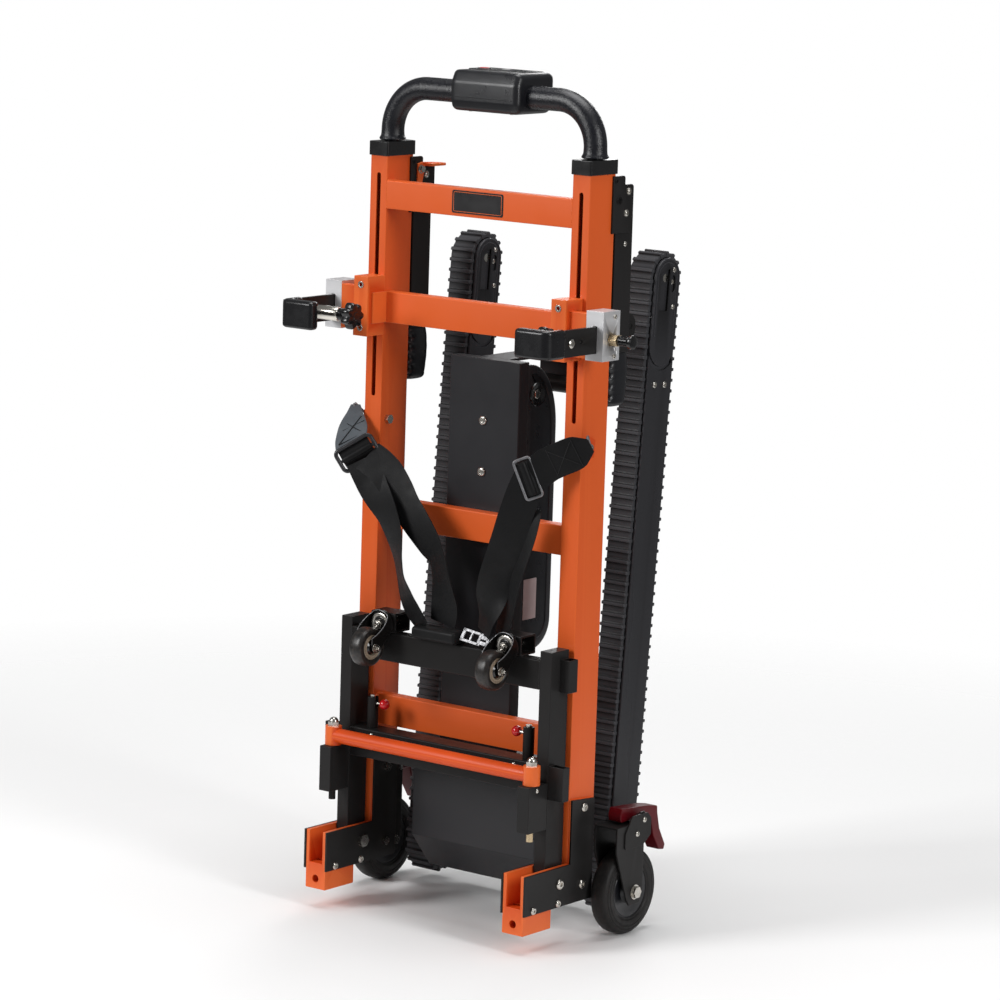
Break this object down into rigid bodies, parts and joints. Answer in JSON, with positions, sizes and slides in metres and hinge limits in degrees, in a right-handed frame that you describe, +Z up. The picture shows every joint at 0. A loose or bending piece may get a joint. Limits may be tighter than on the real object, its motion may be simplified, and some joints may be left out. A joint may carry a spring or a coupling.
{
  "type": "stair climbing hand truck",
  "caption": "Powered stair climbing transporter: telescopic handle, sliding hook arms, belt tracks, rear wheels and a fold-down caster platform.",
  "frame": {"origin": "on the floor under the middle of the whole object", "axes": "+Z up along the uprights; -Y is the front, where the load is strapped; +X points from left_upright to right_upright"},
  "size_m": [0.568, 0.3849, 1.2045],
  "materials": {
    "orange_paint": "satin powder coat",
    "black_paint": "satin powder coat",
    "black_alloy": "black anodised",
    "raw_alloy": "machined",
    "steel": "zinc plated",
    "black_plastic": "satin moulded",
    "grip_rubber": "fine pebbled",
    "belt_rubber": "matte moulded",
    "tyre_rubber": "smooth moulded",
    "red_plastic": "gloss",
    "webbing": "woven",
    "circuit_board": "satin"
  },
  "bodies": {
    "frame": {"left_upright": "orange_paint", "right_upright": "orange_paint", "frame_crossbars": "orange_paint", "upright_caps": "black_plastic", "foot_channels": "orange_paint", "foot_plates": "black_paint", "frame_fasteners": "steel", "left_track_housing": "black_alloy", "right_track_housing": "black_alloy", "left_track_belt": "belt_rubber", "right_track_belt": "belt_rubber", "track_fasteners": "steel", "track_cross_tube": "black_paint", "central_cover": "black_paint", "battery_pack": "black_plastic", "gearbox_cover": "black_paint", "gearbox": "raw_alloy", "drive_motor": "black_paint", "wheel_brackets": "black_paint", "lever_brackets": "black_paint", "left_strap": "webbing", "right_strap": "webbing"},
    "drive": {"drive_shaft": "steel", "track_sprockets": "black_plastic"},
    "idlers": {"track_idlers": "black_plastic"},
    "key": {"key_switch": "steel"},
    "release": {"release_lever": "orange_paint"},
    "handle": {"handle_bar": "black_paint", "handle_grip": "grip_rubber", "control_box": "black_plastic", "control_board": "circuit_board"},
    "power": {"power_button": "red_plastic"},
    "rocker": {"drive_rocker": "black_plastic"},
    "slider": {"slider_crossbar": "orange_paint", "arm_blocks": "raw_alloy"},
    "platform": {"platform_posts": "black_paint", "platform_crossbars": "black_paint"},
    "push_bar": {"push_bar": "orange_paint"},
    "left_wheel": {"left_wheel_tyre": "tyre_rubber", "left_wheel_hub": "black_plastic"},
    "left_pedal": {"left_brake_pedal": "red_plastic"},
    "left_lever": {"left_rear_lever": "black_plastic"},
    "left_arm": {"left_hook_arm": "black_paint", "left_arm_pad": "grip_rubber"},
    "left_knob": {"left_star_knob": "black_plastic"},
    "left_plunger": {"left_plunger": "black_plastic"},
    "left_latch": {"left_latch_pin": "red_plastic"},
    "left_fork": {"left_caster_fork": "steel"},
    "left_caster": {"left_caster_wheel": "tyre_rubber"},
    "right_wheel": {"right_wheel_tyre": "tyre_rubber", "right_wheel_hub": "black_plastic"},
    "right_pedal": {"right_brake_pedal": "red_plastic"},
    "right_lever": {"right_rear_lever": "black_plastic"},
    "right_arm": {"right_hook_arm": "black_paint", "right_arm_pad": "grip_rubber"},
    "right_knob": {"right_star_knob": "black_plastic"},
    "right_plunger": {"right_plunger": "black_plastic"},
    "right_latch": {"right_latch_pin": "red_plastic"},
    "right_fork": {"right_caster_fork": "steel"},
    "right_caster": {"right_caster_wheel": "tyre_rubber"}
  },
  "joints": [
    {"name": "handle_height", "type": "slide", "parent": "frame", "child": "handle", "axis": [0, 0, 1], "range_m": [0, 0.22]},
    {"name": "power_press", "type": "slide", "parent": "handle", "child": "power", "axis": [0, 0, -1], "range_m": [0, 0.0015], "stiffness_N_per_m": 300, "springref_m": -0.001},
    {"name": "rocker_tilt", "type": "hinge", "parent": "handle", "child": "rocker", "pos_m": [0.02, -0.0025, 1.1985], "axis": [0, 1, 0], "range_deg": [-5, 5], "stiffness_Nm_per_rad": 0.05},
    {"name": "slider_height", "type": "slide", "parent": "frame", "child": "slider", "axis": [0, 0, 1], "range_m": [-0.09, 0.11]},
    {"name": "platform_fold", "type": "hinge", "parent": "frame", "child": "platform", "pos_m": [0, -0.0755, 0.089], "axis": [1, 0, 0], "range_deg": [0, 91]},
    {"name": "push_bar_lift", "type": "slide", "parent": "platform", "child": "push_bar", "axis": [0, 0, 1], "range_m": [0, 0.016]},
    {"name": "key_turn", "type": "hinge", "parent": "frame", "child": "key", "pos_m": [0.057, 0.0255, 0.752], "axis": [1, 0, 0], "range_deg": [0, 90]},
    {"name": "release_press", "type": "hinge", "parent": "frame", "child": "release", "pos_m": [-0.158, 0.0175, 1.052], "axis": [1, 0, 0], "range_deg": [-12, 0], "stiffness_Nm_per_rad": 0.2, "springref_deg": 5.73},
    {"name": "drive_spin", "type": "hinge", "parent": "frame", "child": "drive", "pos_m": [0, 0.0895, 0.054], "axis": [1, 0, 0], "continuous": true},
    {"name": "idler_spin", "type": "hinge", "parent": "frame", "child": "idlers", "pos_m": [0, 0.1545, 0.918], "axis": [1, 0, 0], "continuous": true},
    {"name": "left_arm_reach", "type": "slide", "parent": "slider", "child": "left_arm", "axis": [0, 1, 0], "range_m": [-0.02, 0.025]},
    {"name": "left_knob_turn", "type": "hinge", "parent": "left_arm", "child": "left_knob", "pos_m": [-0.228, -0.1385, 0.855], "axis": [1, 0, 0], "continuous": true},
    {"name": "left_plunger_pull", "type": "slide", "parent": "slider", "child": "left_plunger", "axis": [-1, 0, 0], "range_m": [0, 0.006], "stiffness_N_per_m": 400, "springref_m": -0.002},
    {"name": "left_latch_lift", "type": "slide", "parent": "platform", "child": "left_latch", "axis": [0, 0, 1], "range_m": [0, 0.01], "stiffness_N_per_m": 500, "springref_m": -0.003},
    {"name": "left_caster_swivel", "type": "hinge", "parent": "platform", "child": "left_fork", "pos_m": [-0.112, -0.0985, 0.4165], "axis": [0, -1, 0], "continuous": true},
    {"name": "left_caster_roll", "type": "hinge", "parent": "left_fork", "child": "left_caster", "pos_m": [-0.112, -0.1305, 0.388], "axis": [1, 0, 0], "continuous": true},
    {"name": "left_wheel_roll", "type": "hinge", "parent": "frame", "child": "left_wheel", "pos_m": [-0.219, 0.0485, 0.0625], "axis": [1, 0, 0], "continuous": true},
    {"name": "left_pedal_press", "type": "hinge", "parent": "frame", "child": "left_pedal", "pos_m": [-0.219, 0.0645, 0.167], "axis": [1, 0, 0], "range_deg": [-12, 0]},
    {"name": "left_lever_squeeze", "type": "hinge", "parent": "frame", "child": "left_lever", "pos_m": [-0.178, 0.0325, 1.013], "axis": [1, 0, 0], "range_deg": [0, 9]},
    {"name": "right_arm_reach", "type": "slide", "parent": "slider", "child": "right_arm", "axis": [0, 1, 0], "range_m": [-0.02, 0.025]},
    {"name": "right_knob_turn", "type": "hinge", "parent": "right_arm", "child": "right_knob", "pos_m": [0.228, -0.1385, 0.855], "axis": [1, 0, 0], "continuous": true},
    {"name": "right_plunger_pull", "type": "slide", "parent": "slider", "child": "right_plunger", "axis": [1, 0, 0], "range_m": [0, 0.006], "stiffness_N_per_m": 400, "springref_m": -0.002},
    {"name": "right_latch_lift", "type": "slide", "parent": "platform", "child": "right_latch", "axis": [0, 0, 1], "range_m": [0, 0.01], "stiffness_N_per_m": 500, "springref_m": -0.003},
    {"name": "right_caster_swivel", "type": "hinge", "parent": "platform", "child": "right_fork", "pos_m": [0.112, -0.0985, 0.4165], "axis": [0, -1, 0], "continuous": true},
    {"name": "right_caster_roll", "type": "hinge", "parent": "right_fork", "child": "right_caster", "pos_m": [0.112, -0.1305, 0.388], "axis": [1, 0, 0], "continuous": true},
    {"name": "right_wheel_roll", "type": "hinge", "parent": "frame", "child": "right_wheel", "pos_m": [0.219, 0.0485, 0.0625], "axis": [1, 0, 0], "continuous": true},
    {"name": "right_pedal_press", "type": "hinge", "parent": "frame", "child": "right_pedal", "pos_m": [0.219, 0.0645, 0.167], "axis": [1, 0, 0], "range_deg": [-12, 0]},
    {"name": "right_lever_squeeze", "type": "hinge", "parent": "frame", "child": "right_lever", "pos_m": [0.178, 0.0325, 1.013], "axis": [1, 0, 0], "range_deg": [0, 9]}
  ],
  "couplings": [
    {"joint": "push_bar_lift", "follows": "platform_fold", "m_per_rad": 0.01},
    {"joint": "idler_spin", "follows": "drive_spin", "ratio": 1}
  ]
}
